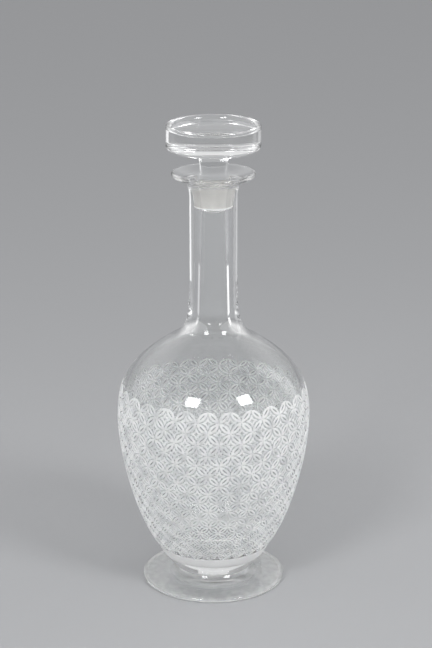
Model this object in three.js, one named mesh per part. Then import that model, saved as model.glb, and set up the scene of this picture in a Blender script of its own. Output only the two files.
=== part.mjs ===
// A stoppered wine carafe of clear blown glass, standing on an applied foot.
// Units are millimetres. +Z is up and the foot rests on the plane Z = 0, with the axis at X = Y = 0.
// Every piece is turned about that axis, so each is drawn as half an outline of (radius, height) points.
import * as THREE from 'three';

// Facets round the axis, the same on every piece so that the plug and its seat line up
const SEGMENTS = 40;

// Foot: a pressed disc with a ground ring to stand on, whose middle rises in a hollow curve to its neck
const FOOT_RADIUS = 45.75;
const FOOT_EDGE_HEIGHT = 1.8;
const FOOT_EDGE_TOP = 3.2;
const FOOT_RING_INNER = 33;
const FOOT_RING_OUTER = 43;
const FOOT_HOLLOW = 1.5;
const FOOT_RISE_RADIUS = 34;
const FOOT_RISE_HEIGHT = 4.3;
const FOOT_TOP = 9;
const FOOT_NECK_RADIUS = 24.2;

// Collar: a short gather of glass between the foot and the bowl, drawn up into a shallow cup round the
// bowl's base
const COLLAR_RIM_RADIUS = 32.1;
const COLLAR_RIM = 18.3;
const COLLAR_FLOOR = 14;

// Bowl, from its base through the knee to the widest ring, then the shoulder
const KNEE = new THREE.Vector2(37.7, 27);
const BOWL_RADIUS = 61.2;
const BOWL_WIDEST = 112;
const SHOULDER = new THREE.Vector2(27.5, 163.6);
const WALL = 3.3;
const BASE_THICKNESS = 5.8;

// Neck, a thick tube with a ground seat for the stopper, a narrow bore that widens a little downwards,
// and a turned-out lip
const NECK_RADIUS = 15.2;
const NECK_BASE = 206;
const NECK_TOP = 254;
const SEAT_TOP_RADIUS = 8.8;
const SEAT_TOP = 263.4;
const SEAT_BOTTOM_RADIUS = 7.83;
const SEAT_BOTTOM = 248.4;
const BORE_RADIUS = 7.7;
const BORE_BASE_RADIUS = 8.8;
const BORE_BASE = 178;
const LIP_RADIUS = 26.2;
const LIP_UNDER = 267.1;
const LIP_EDGE_HEIGHT = 268.6;
const LIP_CROWN = 269.8;
const LIP_THICKNESS = 2.2;
const MOUTH_RADIUS = 9.9;
const MOUTH_HEIGHT = 265.2;

// Stopper: a dished head, a waisted shank that flares out to it, and a ground plug whose round polished
// end stands a little below the seat
const HEIGHT = 300;
const HEAD_RADIUS = 29.4;
const HEAD_WALL_BOTTOM = 286.6;
const HEAD_WALL_TOP = 298.6;
const CROWN_RADIUS = 28;
const DISH_RADIUS = 26;
const DISH_EDGE = 297.2;
const DISH_FLOOR = 294.8;
const FLARE_RADIUS = 14.2;
const FLARE_HEIGHT = 283.1;
const SHANK_TOP_RADIUS = 9.75;
const SHANK_TOP = 280.8;
const SHANK_WAIST_RADIUS = 8.65;
const SHANK_WAIST = 273.5;
const PLUG_TOP_RADIUS = 8.5;
const PLUG_TOP = 264;
const PLUG_BOTTOM_RADIUS = 7.5;
const PLUG_BOTTOM = 248.8;
const PLUG_END_RADIUS = 5.4;
const PLUG_END = 245.8;

const at = (radius, height) => new THREE.Vector2(radius, height);

// Points along a cubic curve that leaves START along its first handle and meets END along its second
function curve(start, firstHandle, secondHandle, end, steps) {
  const shape = new THREE.CubicBezierCurve(
    start,
    start.clone().add(firstHandle),
    end.clone().add(secondHandle),
    end
  );
  return shape.getPoints(steps);
}

// Points round a corner, from where the rounding starts to where it ends
function rounded(start, corner, end, steps) {
  return new THREE.QuadraticBezierCurve(start, corner, end).getPoints(steps);
}

// Joins stretches of outline, leaving out a point that repeats the one before it
function outline(...stretches) {
  const points = [];
  for (const point of stretches.flat()) {
    const last = points[points.length - 1];
    if (!last || last.distanceTo(point) > 0.02) points.push(point);
  }
  return points;
}

function glass(color, roughness) {
  return new THREE.MeshStandardMaterial({
    color,
    roughness,
    metalness: 0,
    transparent: true,
    opacity: 0.4
  });
}

// Turns an outline about the Z axis. The outline runs up the outside, so the faces point out.
function turned(name, points, material) {
  const geometry = new THREE.LatheGeometry(points, SEGMENTS);
  geometry.rotateX(Math.PI / 2);
  const mesh = new THREE.Mesh(geometry, material);
  mesh.name = name;
  return mesh;
}

function footOutline() {
  const edgeBottom = at(FOOT_RING_OUTER, 0);
  const edge = at(FOOT_RADIUS, FOOT_EDGE_HEIGHT);
  const edgeTop = at(FOOT_RADIUS - 1.6, FOOT_EDGE_TOP);
  const rise = at(FOOT_RISE_RADIUS, FOOT_RISE_HEIGHT);
  return outline(
    [at(0, FOOT_HOLLOW)],
    curve(at(12, FOOT_HOLLOW - 0.1), at(8, -0.2), at(-6, 0.4), at(FOOT_RING_INNER, 0), 4),
    rounded(edgeBottom, at(FOOT_RADIUS, 0), edge, 3),
    rounded(edge, at(FOOT_RADIUS, FOOT_EDGE_TOP), edgeTop, 3),
    curve(rise, at(-5, 0.5), at(0.9, -2.4), at(FOOT_NECK_RADIUS, FOOT_TOP), 6),
    [at(0, FOOT_TOP)]
  );
}

// The face where the bowl and the collar are fused, from the axis out to the collar's rim
function fusedBed() {
  const rim = at(COLLAR_RIM_RADIUS, COLLAR_RIM);
  return outline([at(0, COLLAR_FLOOR)], curve(at(13, COLLAR_FLOOR), at(8, 0), at(-7, -1.5), rim, 4));
}

function collarOutline() {
  const rim = at(COLLAR_RIM_RADIUS, COLLAR_RIM);
  return outline(
    [at(0, FOOT_TOP)],
    curve(at(FOOT_NECK_RADIUS, FOOT_TOP), at(1.6, 1.2), at(-1.2, -2.6), rim, 5),
    fusedBed().reverse()
  );
}

// The outer surface, from the collar's rim up over the shoulder to the straight of the neck
function bowlOutside() {
  const widest = at(BOWL_RADIUS, BOWL_WIDEST);
  return outline(
    curve(at(COLLAR_RIM_RADIUS, COLLAR_RIM), at(2, 1.9), at(-2.1, -3.8), KNEE, 4),
    curve(KNEE, at(13.1, 19.3), at(0, -25.5), widest, 7),
    curve(widest, at(0, 27.5), at(22.3, -14.6), SHOULDER, 8),
    curve(SHOULDER, at(-10.3, 5.9), at(0, -34.6), at(NECK_RADIUS, NECK_BASE), 8)
  );
}

function lipOutline() {
  const underEdge = at(LIP_RADIUS - 1.6, LIP_UNDER);
  const edge = at(LIP_RADIUS, LIP_EDGE_HEIGHT);
  const crown = at(LIP_RADIUS - LIP_THICKNESS / 2, LIP_CROWN);
  return outline(
    curve(at(NECK_RADIUS, NECK_TOP), at(0, 11), at(-6.5, -3.2), underEdge, 7),
    rounded(underEdge, at(LIP_RADIUS, LIP_UNDER + 0.4), edge, 3),
    rounded(edge, at(LIP_RADIUS, LIP_CROWN), crown, 3),
    curve(crown, at(-2.6, -0.4), at(3.2, 0.3), at(MOUTH_RADIUS + 2, MOUTH_HEIGHT + 0.6), 4)
  );
}

// The ground seat stays a third of a millimetre clear of the plug, and ends in a small step to the bore
function boreOutline() {
  const seatTop = at(SEAT_TOP_RADIUS, SEAT_TOP);
  const seatBottom = at(SEAT_BOTTOM_RADIUS, SEAT_BOTTOM);
  return outline(
    rounded(at(MOUTH_RADIUS + 2, MOUTH_HEIGHT + 0.6), at(MOUTH_RADIUS - 0.6, MOUTH_HEIGHT), seatTop, 4),
    [seatBottom, at(BORE_RADIUS, SEAT_BOTTOM - 0.4), at(BORE_BASE_RADIUS, BORE_BASE)]
  );
}

// The inner surface, from the foot of the bore down over the shoulder to the thick floor
function bowlInside() {
  const floor = COLLAR_FLOOR + BASE_THICKNESS;
  const widest = at(BOWL_RADIUS - WALL, BOWL_WIDEST);
  const shoulder = at(SHOULDER.x + 1, SHOULDER.y - 5.1);
  const knee = at(KNEE.x - 3.3, KNEE.y + 2.6);
  return outline(
    curve(at(BORE_BASE_RADIUS, BORE_BASE), at(0.5, -6), at(-14, 7.5), shoulder, 7),
    curve(shoulder, at(19.5, -11.6), at(0, 25.2), widest, 8),
    curve(widest, at(0, -25.5), at(11.5, 16.6), knee, 7),
    curve(knee, at(-5.6, -8), at(9, 0.2), at(14, floor), 4),
    [at(0, floor)]
  );
}

function vesselOutline() {
  return outline(
    fusedBed(),
    bowlOutside(),
    [at(NECK_RADIUS, NECK_TOP)],
    lipOutline(),
    boreOutline(),
    bowlInside()
  );
}

function stopperOutline() {
  const underEdge = at(HEAD_RADIUS - 3.6, HEAD_WALL_BOTTOM - 2.7);
  const shankTop = at(SHANK_TOP_RADIUS, SHANK_TOP);
  const waist = at(SHANK_WAIST_RADIUS, SHANK_WAIST);
  const crown = at(CROWN_RADIUS, HEIGHT);
  const plugEnd = at(PLUG_END_RADIUS, PLUG_END);
  const plugBottom = at(PLUG_BOTTOM_RADIUS, PLUG_BOTTOM);
  return outline(
    [at(0, PLUG_END)],
    rounded(plugEnd, at(PLUG_BOTTOM_RADIUS - 0.3, PLUG_END), plugBottom, 5),
    curve(at(PLUG_TOP_RADIUS, PLUG_TOP), at(0.1, 3.2), at(0, -3.4), waist, 3),
    curve(waist, at(0, 3.4), at(-0.4, -2.6), shankTop, 4),
    curve(shankTop, at(0.4, 1.6), at(-2.6, -0.1), at(FLARE_RADIUS, FLARE_HEIGHT), 3),
    rounded(underEdge, at(HEAD_RADIUS - 0.4, HEAD_WALL_BOTTOM - 2), at(HEAD_RADIUS, HEAD_WALL_BOTTOM), 4),
    rounded(at(HEAD_RADIUS, HEAD_WALL_TOP), at(HEAD_RADIUS - 0.1, HEIGHT), crown, 3),
    rounded(crown, at(DISH_RADIUS + 0.6, HEIGHT), at(DISH_RADIUS, DISH_EDGE), 3),
    curve(at(DISH_RADIUS, DISH_EDGE), at(-1.4, -1.2), at(9, 0), at(0, DISH_FLOOR), 4)
  );
}

const carafe = new THREE.Group();
carafe.name = 'carafe';
carafe.add(turned('foot', footOutline(), glass(0xdde3e4, 0.06)));
carafe.add(turned('collar', collarOutline(), glass(0xdde3e4, 0.06)));
carafe.add(turned('vessel', vesselOutline(), glass(0xd6dcde, 0.12)));
carafe.add(turned('stopper', stopperOutline(), glass(0xe2e6e6, 0.05)));

export default carafe;
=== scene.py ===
# A stoppered carafe of clear blown glass, with a band of etched petals round its bowl.
import math

import bmesh
import bpy
import numpy as np
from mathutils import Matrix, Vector
from mathutils.geometry import interpolate_bezier


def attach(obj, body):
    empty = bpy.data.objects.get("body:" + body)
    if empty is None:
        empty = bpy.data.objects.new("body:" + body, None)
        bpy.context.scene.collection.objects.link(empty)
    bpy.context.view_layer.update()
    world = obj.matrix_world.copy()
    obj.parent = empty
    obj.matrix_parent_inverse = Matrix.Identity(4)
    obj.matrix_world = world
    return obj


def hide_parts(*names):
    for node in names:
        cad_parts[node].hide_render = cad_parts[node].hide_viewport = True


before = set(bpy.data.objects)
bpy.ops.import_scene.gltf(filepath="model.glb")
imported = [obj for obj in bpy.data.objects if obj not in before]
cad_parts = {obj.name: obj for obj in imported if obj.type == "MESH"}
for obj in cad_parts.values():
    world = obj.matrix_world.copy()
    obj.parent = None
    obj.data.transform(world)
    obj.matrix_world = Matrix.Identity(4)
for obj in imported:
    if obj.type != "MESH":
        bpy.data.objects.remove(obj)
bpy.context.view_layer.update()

# The camera stands 1.2 m in front of the carafe and looks down on it by 18 degrees, with a long lens,
# so that the stopper is seen nearly side on and the foot from above.
CAMERA_PLACE = (0.00157, -1.2198, 0.563)
CAMERA_DOWN = math.radians(17.79)
CAMERA_SENSOR = 36
CAMERA_FOCAL_PIXELS = 2034
FRAME_HEIGHT_PIXELS = 648
bpy.ops.object.camera_add(location=CAMERA_PLACE, rotation=(math.pi / 2 - CAMERA_DOWN, 0, 0))
camera = bpy.context.object
camera.data.sensor_width = CAMERA_SENSOR
camera.data.lens = CAMERA_SENSOR * CAMERA_FOCAL_PIXELS / FRAME_HEIGHT_PIXELS
scene = bpy.context.scene
scene.camera = camera
scene.view_settings.view_transform = "Standard"

# Light passes many faces of glass before it gets out, so it is followed further than usual. Clear glass
# stays sharp for scattered light too, or the frost on the far wall and the ground seat would look dim.
scene.cycles.max_bounces = 32
scene.cycles.transmission_bounces = 24
scene.cycles.glossy_bounces = 16
scene.cycles.diffuse_bounces = 12
scene.cycles.blur_glossy = 0

# The floor is a wide pale grey sheet, a hair below the foot. The room has the same grey near the floor,
# and its back wall brightens only slowly above that. Its other walls are bright and its ceiling less so.
MM = 0.001
FLOOR_RADIUS = 30.0
FLOOR_DROP = 0.05 * MM
FLOOR_FACETS = 96
FLOOR_COLOUR = (0.4, 0.405, 0.415, 1)
FLOOR_ROUGHNESS = 0.85
WALL_COLOUR = (1.2, 1.2, 1.2, 1)
CEILING_COLOUR = (0.42, 0.42, 0.43, 1)

# The room fades from one colour to the next between two directions. Each is given by how far it points
# up, or by how far it points back, on a scale from 0 to 1.
WALL_STARTS = (0.05, 0.2)
CEILING_STARTS = (0.45, 0.8)
BACK_WALL_SIDES = (0.1, 0.6)
BACK_WALL_ENDS = (0.15, 0.75)


class Shade:
    """A value in a tree of shader nodes. Arithmetic on it adds Math nodes, and node() adds any other."""

    MIX_SHARE, MIX_LOW, MIX_HIGH, MIX_RESULT = 0, 6, 7, 2

    def __init__(self, tree, socket=None):
        self.tree = tree
        self.socket = socket

    def node(self, kind, settings, sockets, output=0):
        made = self.tree.nodes.new(kind)
        for name, value in settings.items():
            setattr(made, name, value)
        for name, value in sockets.items():
            if isinstance(value, Shade):
                self.tree.links.new(value.socket, made.inputs[name])
            else:
                made.inputs[name].default_value = value
        return Shade(self.tree, made.outputs[output] if len(made.outputs) else None)

    def math(self, operation, first, second):
        return self.node("ShaderNodeMath", {"operation": operation}, {0: first, 1: second})

    def __add__(self, other):
        return self.math("ADD", self, other)

    def __radd__(self, other):
        return self.math("ADD", other, self)

    def __sub__(self, other):
        return self.math("SUBTRACT", self, other)

    def __rsub__(self, other):
        return self.math("SUBTRACT", other, self)

    def __mul__(self, other):
        return self.math("MULTIPLY", self, other)

    def __rmul__(self, other):
        return self.math("MULTIPLY", other, self)

    def ramp(self, low, high):
        """0 up to low, 1 from high on, and a straight rise between."""
        spread = {"Value": self, "From Min": low, "From Max": high}
        return self.node("ShaderNodeMapRange", {"clamp": True}, spread)

    def colour(self, low, high):
        """The low colour where this value is 0, the high one where it is 1, and a blend between."""
        sockets = {self.MIX_SHARE: self, self.MIX_LOW: low, self.MIX_HIGH: high}
        return self.node("ShaderNodeMix", {"data_type": "RGBA"}, sockets, self.MIX_RESULT)

    def use_as_surface(self):
        """Ends a material's tree with this shader."""
        self.node("ShaderNodeOutputMaterial", {}, {"Surface": self})


def new_material(name):
    """A material with nothing in it yet, and the tree of nodes to fill."""
    material = bpy.data.materials.new(name)
    material.use_nodes = True
    material.node_tree.nodes.clear()
    return material, Shade(material.node_tree)


bpy.ops.object.select_all(action="DESELECT")
bpy.ops.mesh.primitive_circle_add(
    vertices=FLOOR_FACETS,
    radius=FLOOR_RADIUS,
    fill_type="NGON",
    location=(0, 0, -FLOOR_DROP),
)
floor = bpy.context.object
floor.name = "floor"
pale_floor, floor_shade = new_material("pale_floor")
floor_look = {"Base Color": FLOOR_COLOUR, "Roughness": FLOOR_ROUGHNESS}
floor_shade.node("ShaderNodeBsdfPrincipled", {}, floor_look, "BSDF").use_as_surface()
floor.data.materials.append(pale_floor)

world = bpy.data.worlds.new("room")
scene.world = world
world.use_nodes = True
world.node_tree.nodes.clear()
room = Shade(world.node_tree)
direction = room.node("ShaderNodeTexCoord", {}, {}, "Generated")
upwards = room.node("ShaderNodeSeparateXYZ", {}, {"Vector": direction}, "Z")
backwards = room.node("ShaderNodeSeparateXYZ", {}, {"Vector": direction}, "Y")
back_wall = backwards.ramp(*BACK_WALL_SIDES) * (1 - upwards.ramp(*BACK_WALL_ENDS))
walls = (upwards.ramp(*WALL_STARTS) * (1 - back_wall)).colour(FLOOR_COLOUR, WALL_COLOUR)
room_colour = upwards.ramp(*CEILING_STARTS).colour(walls, CEILING_COLOUR)
glow = room.node("ShaderNodeBackground", {}, {"Color": room_colour, "Strength": 1.0}, "Background")
room.node("ShaderNodeOutputWorld", {}, {"Surface": glow})

# Two soft windows in front are mirrored by the bowl. Two tall narrow screens, close by on either side,
# draw the bright lines down the edges of the neck and the stopper. The camera sees none of the four.
WINDOW_AIM = (0, 0, 0.15)
WINDOW_SIZE = (0.45, 0.5)
WINDOW_WATTS = 10.6
LEFT_WINDOW = (-0.7, -1.23, 1.15)
RIGHT_WINDOW = (1.0, -1.0, 1.15)
SCREEN_ASIDE = 0.5
SCREEN_BACK = 0.23
SCREEN_HEIGHT = 0.42
SCREEN_AIM = (0, 0, SCREEN_HEIGHT)
SCREEN_SIZE = (0.16, 0.8)
LEFT_SCREEN_WATTS = 0.12
RIGHT_SCREEN_WATTS = 0.35


def lamp(name, place, aim, size, watts):
    bpy.ops.object.light_add(type="AREA", location=place)
    made = bpy.context.object
    made.name = name
    made.rotation_euler = (Vector(aim) - Vector(place)).to_track_quat("-Z", "Y").to_euler()
    made.data.shape = "RECTANGLE"
    made.data.size, made.data.size_y = size
    made.data.energy = watts
    made.visible_camera = False


left_screen = (-SCREEN_ASIDE, SCREEN_BACK, SCREEN_HEIGHT)
right_screen = (SCREEN_ASIDE, SCREEN_BACK, SCREEN_HEIGHT)
lamp("left_window", LEFT_WINDOW, WINDOW_AIM, WINDOW_SIZE, WINDOW_WATTS)
lamp("right_window", RIGHT_WINDOW, WINDOW_AIM, WINDOW_SIZE, WINDOW_WATTS)
lamp("left_screen", left_screen, SCREEN_AIM, SCREEN_SIZE, LEFT_SCREEN_WATTS)
lamp("right_screen", right_screen, SCREEN_AIM, SCREEN_SIZE, RIGHT_SCREEN_WATTS)

# The foot is a disc of glass dropped on hot and pressed out. It stands on a flat ring, and its middle
# rises in a hollow curve to the collar. Tables have scuffed its underside, most near the outer edge.
FOOT_RADIUS = 45.75
FOOT_NECK = 24.2
FOOT_TOP = 9
FOOT_HOLLOW = 1.5
RING_INNER = 33
RING_OUTER = 43
ROUND_FACETS = 128
NEAR = 0.01 * MM

# A tilt is how far up the normal of a face points, from -1 for straight down to 1 for straight up.
UNDERSIDE_TILT = -0.15

# Outlines are in millimetres. A knot is (radius, height), and where a curve meets it, it also has the
# handles of the curve before it and of the curve after it.
NO_HANDLE = (0, 0)
foot_knots = [
    (0, FOOT_HOLLOW),
    (12, FOOT_HOLLOW, NO_HANDLE, (8, -0.2)),
    (RING_INNER, 0, (-6, 0.4), NO_HANDLE),
    (RING_OUTER, 0, NO_HANDLE, (1.8, 0)),
    (FOOT_RADIUS, 1.8, (0, -1.2), (0, 0.9)),
    (44.1, 3.2, (1.1, 0), NO_HANDLE),
    (34, 4.3, NO_HANDLE, (-5, 0.5)),
    (FOOT_NECK, FOOT_TOP, (0.9, -2.4), NO_HANDLE),
    (0, FOOT_TOP),
]


def outline(knots, steps):
    """Half an outline in metres. A stretch without handles is straight, and a curve is cut into steps."""
    full = [knot if len(knot) == 4 else (*knot, NO_HANDLE, NO_HANDLE) for knot in knots]
    points = []
    for (radius, height, _, leaving), (next_radius, next_height, meeting, _) in zip(full, full[1:]):
        start = Vector((radius, 0, height))
        end = Vector((next_radius, 0, next_height))
        if leaving == meeting == NO_HANDLE:
            stretch = [start, end]
        else:
            first_handle = start + Vector((leaving[0], 0, leaving[1]))
            second_handle = end + Vector((meeting[0], 0, meeting[1]))
            stretch = interpolate_bezier(start, first_handle, second_handle, end, steps + 1)
        shared = 1 if points else 0
        points += [point * MM for point in stretch[shared:]]
    return points


def merge_vertices():
    """Merges the edit mesh's vertices that lie in one place."""
    bpy.ops.mesh.select_all(action="SELECT")
    bpy.ops.mesh.remove_doubles(threshold=NEAR)


def close_seams():
    """Merges the edit mesh's vertices, and turns its faces outwards."""
    merge_vertices()
    bpy.ops.mesh.normals_make_consistent(inside=False)


def turned(name, points, facets):
    """A piece worked about its axis: half an outline, spun all the way round."""
    bpy.ops.object.select_all(action="DESELECT")
    bpy.ops.curve.primitive_bezier_curve_add()
    line = bpy.context.object
    line.name = name
    line.data.resolution_u = 1
    spline = line.data.splines[0]
    spline.bezier_points.add(len(points) - 2)
    for knot, point in zip(spline.bezier_points, points):
        knot.handle_left_type = knot.handle_right_type = "VECTOR"
        knot.co = point
    bpy.ops.object.convert(target="MESH")
    piece = bpy.context.object
    bpy.ops.object.mode_set(mode="EDIT")
    bpy.ops.mesh.select_all(action="SELECT")
    bpy.ops.mesh.spin(steps=facets, angle=2 * math.pi, center=(0, 0, 0), axis=(0, 0, 1))
    close_seams()
    bpy.ops.object.mode_set(mode="OBJECT")
    return piece


# Clear glass has a little waviness from blowing, and a fine haze where hands and cloths have touched it.
# A haze is given by its least and greatest roughness, and its grain by how fine it is.
SWELL_SCALE = 38.0
HAZE_SPREAD = (0.42, 0.72)
REFRACTIVE_INDEX = 1.52
CRYSTAL = {
    "colour": (0.985, 0.99, 0.988, 1),
    "haze": (0.0, 0.035),
    "grain": 60.0,
    "wave": 0.12 * MM,
    "clearness": 1.0,
}


def ground(colour, haze, clearness):
    """The look of glass that is dull from grinding or from wear."""
    return {"colour": colour, "haze": haze, "grain": 700.0, "wave": 0.02 * MM, "clearness": clearness}


def noise(melt, place, scale, detail, roughness=0.5):
    sockets = {"Vector": place, "Scale": scale, "Detail": detail, "Roughness": roughness}
    return melt.node("ShaderNodeTexNoise", {}, sockets, "Fac")


def glass_shader(melt, colour, haze, grain, wave, clearness):
    place = melt.node("ShaderNodeTexCoord", {}, {}, "Object")
    smears = noise(melt, place, grain, detail=4.0)
    swell = noise(melt, place, SWELL_SCALE, detail=1.0)
    low, high = haze
    bent = melt.node("ShaderNodeBump", {}, {"Strength": 1.0, "Distance": wave, "Height": swell}, "Normal")
    return melt.node(
        "ShaderNodeBsdfPrincipled",
        {},
        {
            "Base Color": colour,
            "Roughness": smears.ramp(*HAZE_SPREAD) * (high - low) + low,
            "IOR": REFRACTIVE_INDEX,
            "Transmission Weight": clearness,
            "Normal": bent,
        },
        "BSDF",
    )


def glass(name, look):
    material, melt = new_material(name)
    glass_shader(melt, **look).use_as_surface()
    return material


crystal = glass("clear_crystal", CRYSTAL)

# Where two gathers were fused hot the glass runs through, so the faces that meet inside are see-through.
fused, seam = new_material("fused_joint")
seam_look = {"Base Color": (1, 1, 1, 1), "Alpha": 0.0}
seam.node("ShaderNodeBsdfPrincipled", {}, seam_look, "BSDF").use_as_surface()

# The scuffs grow from the middle of the underside to the ring, in soft clouds, and are thickest on the
# ring's outer edge.
SCUFFS = ground((0.96, 0.965, 0.96, 1), (0.8, 1.0), 0.15)
SCUFF_REACH = (18 * MM, RING_OUTER * MM)
MIDDLE_WEAR = 0.1
RING_WEAR = 0.34
WORN_EDGE = (42.5 * MM, 44 * MM)
EDGE_WEAR = 0.56
CLOUD_SCALE = 260.0
CLOUD_SPREAD = (0.35, 0.65)
CLOUD_SHARE = 0.3

scuffed, base_melt = new_material("scuffed_base")
base_place = base_melt.node("ShaderNodeTexCoord", {}, {}, "Object")
right = base_melt.node("ShaderNodeSeparateXYZ", {}, {"Vector": base_place}, "X")
back = base_melt.node("ShaderNodeSeparateXYZ", {}, {"Vector": base_place}, "Y")
from_axis = base_melt.math("POWER", right * right + back * back, 0.5)
clouds = noise(base_melt, base_place, CLOUD_SCALE, detail=5.0)
clouded = clouds.ramp(*CLOUD_SPREAD) * CLOUD_SHARE + (1 - CLOUD_SHARE)
faint_wear = (from_axis.ramp(*SCUFF_REACH) * RING_WEAR + MIDDLE_WEAR) * clouded
wear = faint_wear + from_axis.ramp(*WORN_EDGE) * EDGE_WEAR
layers = {0: wear, 1: glass_shader(base_melt, **CRYSTAL), 2: glass_shader(base_melt, **SCUFFS)}
base_melt.node("ShaderNodeMixShader", {}, layers).use_as_surface()

SMOOTH_ANGLE = math.radians(35)


def pick(piece):
    """Selects one piece alone, for the operators that follow."""
    bpy.ops.object.select_all(action="DESELECT")
    piece.select_set(True)
    bpy.context.view_layer.objects.active = piece


def dress(piece, *materials):
    """Gives a piece its materials, the first of them all over, and smooths all but its sharp edges."""
    for material in materials:
        piece.data.materials.append(material)
    pick(piece)
    bpy.ops.object.shade_smooth_by_angle(angle=SMOOTH_ANGLE)


def cover(piece, material, test):
    """Gives another of a piece's materials to the faces whose middle and normal pass a test."""
    slot = piece.data.materials.find(material.name)
    for face in piece.data.polygons:
        if test(face.center, face.normal):
            face.material_index = slot


foot = turned("foot_disc", outline(foot_knots, steps=8), ROUND_FACETS)
dress(foot, crystal, fused, scuffed)
cover(foot, scuffed, lambda middle, normal: normal.z < UNDERSIDE_TILT)
cover(foot, fused, lambda middle, normal: middle.z > FOOT_TOP * MM - NEAR)
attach(foot, "carafe")
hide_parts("foot")

# The collar is a short gather of glass between the foot and the bowl, drawn up hot into a shallow cup
# round the bowl's base. Only the narrow strip outside the cup is bare, and the rest is fused.
COLLAR_RADIUS = 32.1
COLLAR_RIM = 18.3
COLLAR_FLOOR = 14
COLLAR_FLOOR_RADIUS = 13
BARE_TILT = -0.01
collar_knots = [
    (0, FOOT_TOP),
    (FOOT_NECK, FOOT_TOP, NO_HANDLE, (1.6, 1.2)),
    (COLLAR_RADIUS, COLLAR_RIM, (-1.2, -2.6), (-7, -1.5)),
    (COLLAR_FLOOR_RADIUS, COLLAR_FLOOR, (8, 0), NO_HANDLE),
    (0, COLLAR_FLOOR),
]
collar = turned("collar_gather", outline(collar_knots, steps=6), ROUND_FACETS)
dress(collar, fused, crystal)
cover(collar, crystal, lambda middle, normal: normal.z < BARE_TILT and middle.z > FOOT_TOP * MM + NEAR)
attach(collar, "carafe")
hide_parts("collar")

# The vessel is one gather of glass, blown and tooled into bowl, shoulder, neck and lip. The bare glass
# round the bowl lies a third of a millimetre below the frosted pattern, which stands proud of it.
RELIEF = 0.3
BOWL_RADIUS = 60.9
BOWL_INSIDE_RADIUS = 57.9
BOWL_WIDEST = 112
BOWL_FLOOR = 19.8
NECK_RADIUS = 15.2
NECK_BASE = 206
NECK_TOP = 254
LIP_RADIUS = 26.2
SEAT_TOP = 263.4
SEAT_EDGE_TOP = 249.1
SEAT_EDGE_BOTTOM = 248
BORE_BASE = 178
BORE_BASE_RADIUS = 8.8

# The first outline runs up the outside, from under the bowl to the neck. The second goes on from there
# over the lip, and down the bore and the inside to the bowl's thick floor.
bowl_knots = [
    (COLLAR_FLOOR_RADIUS, COLLAR_FLOOR, NO_HANDLE, (8, 0)),
    (COLLAR_RADIUS, COLLAR_RIM, (-7, -1.5), (2, 1.9)),
    (37.5, 27.1, (-2.1, -3.8), (13.1, 19.3)),
    (BOWL_RADIUS, BOWL_WIDEST, (0, -25.5), (0, 27.5)),
    (27.5, 163.6, (22.3, -14.6), (-10.3, 5.9)),
    (NECK_RADIUS, NECK_BASE, (0, -34.6), NO_HANDLE),
]
neck_knots = [
    (NECK_RADIUS, NECK_BASE),
    (NECK_RADIUS, NECK_TOP, NO_HANDLE, (0, 11)),
    (24.6, 267.1, (-6.5, -3.2), (1.0, 0.3)),
    (LIP_RADIUS, 268.6, (0, -0.8), (0, 0.8)),
    (25.1, 269.8, (0.7, 0), (-2.6, -0.4)),
    (11.9, 265.8, (3.2, 0.3), (-1.7, -0.4)),
    (8.8, SEAT_TOP, (0.3, 1.2), NO_HANDLE),
    (7.875, SEAT_EDGE_TOP),
    (7.83, 248.4),
    (7.7, SEAT_EDGE_BOTTOM),
    (BORE_BASE_RADIUS, BORE_BASE, NO_HANDLE, (0.5, -6)),
    (28.5, 158.5, (-14, 7.5), (19.5, -11.6)),
    (BOWL_INSIDE_RADIUS, BOWL_WIDEST, (0, 25.2), (0, -25.5)),
    (34.4, 29.6, (11.5, 16.6), (-5.6, -8)),
    (14, BOWL_FLOOR, (9, 0.2), NO_HANDLE),
    (0, BOWL_FLOOR),
]

# The etched band has 27 columns and 9 rows of rosettes, between two plain borders. A border has some
# facets to each column, and some cuts between its straight edge and the petals.
COLUMNS = 27
ROWS = 9
BORDER_FACETS = 6
BORDER_CUTS = 4
BAND_LOW = 26.6 * MM
BAND_HIGH = 135.2 * MM

bowl_line = outline(bowl_knots, steps=24)
below = [point for point in bowl_line if point.z <= BAND_LOW]
band_line = [point for point in bowl_line if below[-1].z <= point.z <= BAND_HIGH]
above = [point for point in bowl_line if point.z >= band_line[-1].z]

# Along the band, travel is counted in shares of the radius, so that petals shrink with the bowl
# and stay round. The border takes up what whole rows of rosettes leave over. ROSETTE is the radius
# of a rosette.
radii = np.array([point.x for point in band_line])
heights = np.array([point.z for point in band_line])
lengths = np.hypot(np.diff(radii), np.diff(heights))
travel = np.concatenate([[0], np.cumsum(lengths / (radii[1:] + radii[:-1]) * 2)])
widest = float(max(radii))
ROSETTE = math.pi * widest / COLUMNS
band_length = float(travel[-1]) * widest
border = (band_length - 2 * ROSETTE * (ROWS - 1)) / 2

# A petal or a star has a sloping edge, a frosted strip inside it, and the edge of a clear vein.
PETAL_EDGE = 0.35 * MM
PETAL_STRIP = 0.95 * MM
VEIN_EDGE = 0.25 * MM
STAR_POINT = 4.3 * MM
STAR_WAIST = 1.9 * MM
STAR_STRIP = 0.55 * MM
STAR_CORNERS = 8
RING_CORNERS = 20
PETAL_REACH = 0.93 * ROSETTE


def start_sheet(name):
    """Opens an empty mesh in edit mode."""
    bpy.ops.object.select_all(action="DESELECT")
    bpy.ops.mesh.primitive_plane_add()
    bpy.context.object.name = name
    bpy.ops.object.mode_set(mode="EDIT")
    bpy.ops.mesh.delete(type="VERT")


def drop_vertices(test):
    """Deletes the edit mesh's vertices whose place passes a test."""
    mesh = bmesh.from_edit_mesh(bpy.context.object.data)
    bpy.ops.mesh.select_all(action="DESELECT")
    for vertex in mesh.verts:
        vertex.select_set(test(vertex.co))
    bpy.ops.mesh.delete(type="VERT")


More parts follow.
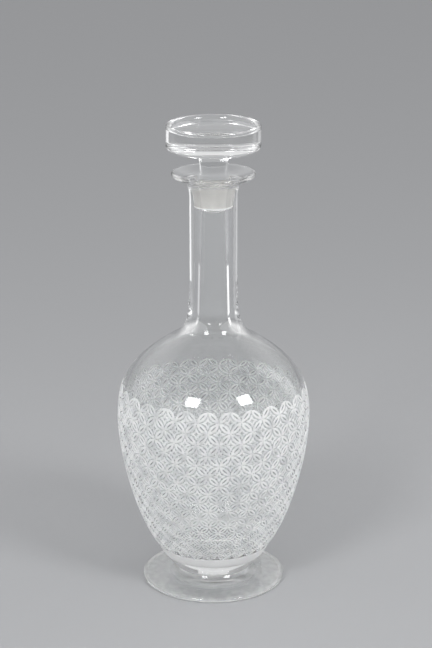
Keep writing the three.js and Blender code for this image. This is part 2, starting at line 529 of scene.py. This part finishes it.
def face_up():
    """Turns the selected faces to look along +Z."""
    mesh = bmesh.from_edit_mesh(bpy.context.object.data)
    if any(face.select and face.normal.z < 0 for face in mesh.faces):
        bpy.ops.mesh.flip_normals()


def frosted_shape(strip):
    """Raises the selected face with sloping sides, and sinks a clear slit of the same form in it."""
    face_up()
    bpy.ops.mesh.inset(thickness=PETAL_EDGE, depth=RELIEF * MM)
    bpy.ops.mesh.inset(thickness=strip, depth=0)
    bpy.ops.mesh.inset(thickness=VEIN_EDGE, depth=-RELIEF * MM)


def star():
    """Adds a frosted star with four points, the other four corners drawn in to its waist."""
    bpy.ops.mesh.select_all(action="DESELECT")
    bpy.ops.mesh.primitive_circle_add(vertices=STAR_CORNERS, radius=STAR_POINT, fill_type="NGON")
    mesh = bmesh.from_edit_mesh(bpy.context.object.data)
    for vertex in mesh.verts:
        if vertex.select and min(abs(vertex.co.x), abs(vertex.co.y)) > NEAR:
            vertex.co *= STAR_WAIST / STAR_POINT
    frosted_shape(STAR_STRIP)


def bridge_open_edges(reach=math.inf, cuts=0):
    """Fills the ring between the open edges that lie within reach of the middle."""
    bpy.ops.mesh.select_mode(type="EDGE")
    bpy.ops.mesh.select_all(action="DESELECT")
    mesh = bmesh.from_edit_mesh(bpy.context.object.data)
    for edge in mesh.edges:
        middle = (edge.verts[0].co + edge.verts[1].co) / 2
        if (edge.is_boundary or edge.is_wire) and middle.length < reach:
            edge.select_set(True)
    bpy.ops.mesh.bridge_edge_loops(number_cuts=cuts, interpolation="LINEAR")
    bpy.ops.mesh.select_mode(type="VERT")


# A rosette is a ring's worth of pattern: four petals, each with a clear vein, round a star. A petal is
# what two rings share, and the other three are turned copies of the first.
start_sheet("rosettes")
bpy.ops.mesh.primitive_circle_add(vertices=RING_CORNERS, radius=ROSETTE)
bpy.ops.mesh.primitive_circle_add(vertices=RING_CORNERS, radius=ROSETTE, location=(ROSETTE, ROSETTE, 0))
drop_vertices(lambda place: min(place.x, place.y) < -NEAR or max(place.x, place.y) > ROSETTE + NEAR)
merge_vertices()
bpy.ops.mesh.edge_face_add()
frosted_shape(PETAL_STRIP)
bpy.ops.mesh.select_all(action="SELECT")
for quarter in range(3):
    bpy.ops.mesh.duplicate()
    bpy.ops.transform.rotate(value=math.pi / 2, orient_axis="Z", center_override=(0, 0, 0))
merge_vertices()
star()
bridge_open_edges(PETAL_REACH)
bpy.ops.object.mode_set(mode="OBJECT")
rosettes = bpy.context.object

# Between four rosettes there is a clear space with four points, and a star in its middle.
start_sheet("spaces")
for ring_x in (-ROSETTE, ROSETTE):
    for ring_y in (-ROSETTE, ROSETTE):
        ring_place = (ring_x, ring_y, 0)
        bpy.ops.mesh.primitive_circle_add(vertices=RING_CORNERS, radius=ROSETTE, location=ring_place)
drop_vertices(lambda place: max(abs(place.x), abs(place.y)) > ROSETTE + NEAR)
merge_vertices()
star()
bridge_open_edges()
bpy.ops.mesh.select_all(action="SELECT")
bpy.ops.transform.translate(value=(ROSETTE, ROSETTE, 0))
bpy.ops.object.mode_set(mode="OBJECT")
spaces = bpy.context.object


# The border is the bare glass between the last row of petals and the straight edge of the band.
def border_sheet(name, side):
    start_sheet(name)
    bpy.ops.mesh.primitive_circle_add(vertices=RING_CORNERS, radius=ROSETTE)
    drop_vertices(lambda place: place.y * side < -NEAR)
    bpy.ops.mesh.primitive_grid_add(
        x_subdivisions=BORDER_FACETS,
        y_subdivisions=1,
        size=2 * ROSETTE,
        location=(0, side * (border + ROSETTE), 0),
    )
    drop_vertices(lambda place: place.y * side > border + NEAR)
    bridge_open_edges(cuts=BORDER_CUTS)
    bpy.ops.object.mode_set(mode="OBJECT")
    return bpy.context.object


def repeat(piece, columns, rows):
    """Copies a unit of the pattern across and up, and joins the copies into one sheet."""
    pick(piece)
    for count, offset in ((columns, (2 * ROSETTE, 0, 0)), (rows, (0, 2 * ROSETTE, 0))):
        array = piece.modifiers.new("repeat", "ARRAY")
        array.count = count
        array.use_relative_offset = False
        array.use_constant_offset = True
        array.constant_offset_displace = offset
        bpy.ops.object.modifier_apply(modifier=array.name)


low_border = border_sheet("low_border", -1)
high_border = border_sheet("high_border", 1)
repeat(rosettes, COLUMNS, ROWS)
repeat(spaces, COLUMNS, ROWS - 1)
repeat(low_border, COLUMNS, 1)
repeat(high_border, COLUMNS, 1)
for vertex in high_border.data.vertices:
    vertex.co.y += 2 * ROSETTE * (ROWS - 1)
sheets = [rosettes, spaces, low_border, high_border]

# The acid bit unevenly, so the frost is greyer in soft patches.
FROST = {"haze": (0.8, 1.0), "grain": 900.0, "wave": 0.04 * MM, "clearness": 0.42}
FROST_GREY = (0.68, 0.69, 0.7, 1)
FROST_WHITE = (0.93, 0.935, 0.935, 1)
PATCH_SCALE = 120.0
PATCH_SPREAD = (0.36, 0.54)
frost, frost_melt = new_material("etched_frost")
frost_place = frost_melt.node("ShaderNodeTexCoord", {}, {}, "Object")
patches = noise(frost_melt, frost_place, PATCH_SCALE, detail=6.0, roughness=0.65)
patchy_white = patches.ramp(*PATCH_SPREAD).colour(FROST_GREY, FROST_WHITE)
glass_shader(frost_melt, colour=patchy_white, **FROST).use_as_surface()

# Frost covers what stands proud. Then each flat sheet is wrapped round the bowl: across becomes
# an angle, and up becomes travel along the outline.
FROST_LEVEL = 0.05 * RELIEF * MM
across_slope = np.gradient(radii, travel)
up_slope = np.gradient(heights, travel)
for flat in sheets:
    flat.data.materials.append(crystal)
    flat.data.materials.append(frost)
    cover(flat, frost, lambda middle, normal: middle.z > FROST_LEVEL)
    places = np.empty(len(flat.data.vertices) * 3, np.float32)
    flat.data.vertices.foreach_get("co", places)
    across, up, lift = places.reshape(-1, 3).T.astype(float)
    along = (up + border) / widest
    slope = np.hypot(np.interp(along, travel, across_slope), np.interp(along, travel, up_slope))
    out = np.interp(along, travel, up_slope) / slope
    rise = -np.interp(along, travel, across_slope) / slope
    radius = np.interp(along, travel, radii) + lift * out
    height = np.interp(along, travel, heights) + lift * rise
    angle = across / widest
    wrapped = np.column_stack([radius * np.cos(angle), radius * np.sin(angle), height])
    flat.data.vertices.foreach_set("co", wrapped.astype(np.float32).ravel())

# The stopper's seat in the neck was ground with fine grit. The grinding ends below in a coarse edge, which
# is painted solid white all across the neck as a painted highlight, for the bright line where the seat
# ends.
SEAT = ground((0.78, 0.77, 0.745, 1), (0.8, 1.0), 0.3)
COARSE_EDGE_AND_PAINTED_HIGHLIGHT = ground((0.98, 0.98, 0.97, 1), (0.9, 1.0), 0.0)
ground_seat = glass("ground_seat", SEAT)
coarse_edge_and_painted_highlight = glass("coarse_seat_edge_and_painted_highlight", COARSE_EDGE_AND_PAINTED_HIGHLIGHT)

# The glass above and below the band is turned, and then all of the vessel is joined.
VESSEL_FACETS = COLUMNS * BORDER_FACETS
FUSED_TILT = -0.9
BORE_REACH = 9 * MM
base_middle = Vector((0, 0, COLLAR_FLOOR * MM))
base = turned("bowl_base", [base_middle] + below, VESSEL_FACETS)
vessel = turned("etched_vessel", above + outline(neck_knots, steps=9)[1:], VESSEL_FACETS)
for material in (crystal, frost, fused, ground_seat, coarse_edge_and_painted_highlight):
    vessel.data.materials.append(material)
pick(vessel)
for piece in sheets + [base]:
    piece.select_set(True)
bpy.ops.object.join()
bpy.ops.object.mode_set(mode="EDIT")
close_seams()
bpy.ops.object.mode_set(mode="OBJECT")


def bore_between(low, high):
    """A test for faces of the bore between two heights."""
    return lambda middle, normal: middle.xy.length < BORE_REACH and low * MM < middle.z < high * MM


cover(vessel, fused, lambda middle, normal: middle.z < COLLAR_RIM * MM and normal.z < FUSED_TILT)
cover(vessel, ground_seat, bore_between(SEAT_EDGE_TOP, SEAT_TOP))
# The coarse edge at the foot of the seat is painted solid white, a painted highlight as well as ground
# glass.
cover(vessel, coarse_edge_and_painted_highlight, bore_between(SEAT_EDGE_BOTTOM, SEAT_EDGE_TOP))
dress(vessel)
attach(vessel, "carafe")
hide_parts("vessel")

# The stopper is solid glass: a dished head, a waisted shank and a plug ground to fit the neck. The end
# of the plug is round and was left polished.
STOPPER_TOP = 300
HEAD_RADIUS = 29.4
DISH_FLOOR = 294.8
PLUG_TOP = 264
PLUG_BOTTOM = 248.8
PLUG_END = 245.8
PLUG = ground((0.9, 0.895, 0.88, 1), (0.3, 0.5), 0.85)
stopper_knots = [
    (0, PLUG_END),
    (5.4, PLUG_END, NO_HANDLE, (1.2, 0)),
    (7.5, PLUG_BOTTOM, (-0.2, -2), NO_HANDLE),
    (8.5, PLUG_TOP, NO_HANDLE, (0.1, 3.2)),
    (8.65, 273.5, (0, -3.4), (0, 3.4)),
    (9.75, 280.8, (-0.4, -2.6), (0.4, 1.6)),
    (14.2, 283.1, (-2.6, -0.1), NO_HANDLE),
    (25.8, 283.9, NO_HANDLE, (2.1, 0.5)),
    (HEAD_RADIUS, 286.6, (-0.3, -1.3), NO_HANDLE),
    (HEAD_RADIUS, 298.6, NO_HANDLE, (0, 0.9)),
    (28, STOPPER_TOP, (0.9, 0), (-0.9, 0)),
    (26, 297.2, (0.4, 1.9), (-1.4, -1.2)),
    (0, DISH_FLOOR, (9, 0), NO_HANDLE),
]
ground_plug = glass("ground_plug", PLUG)
stopper = turned("dished_stopper", outline(stopper_knots, steps=10), ROUND_FACETS)
dress(stopper, crystal, ground_plug)
cover(stopper, ground_plug, lambda middle, normal: PLUG_BOTTOM * MM < middle.z < PLUG_TOP * MM)
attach(stopper, "stopper")
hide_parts("stopper")
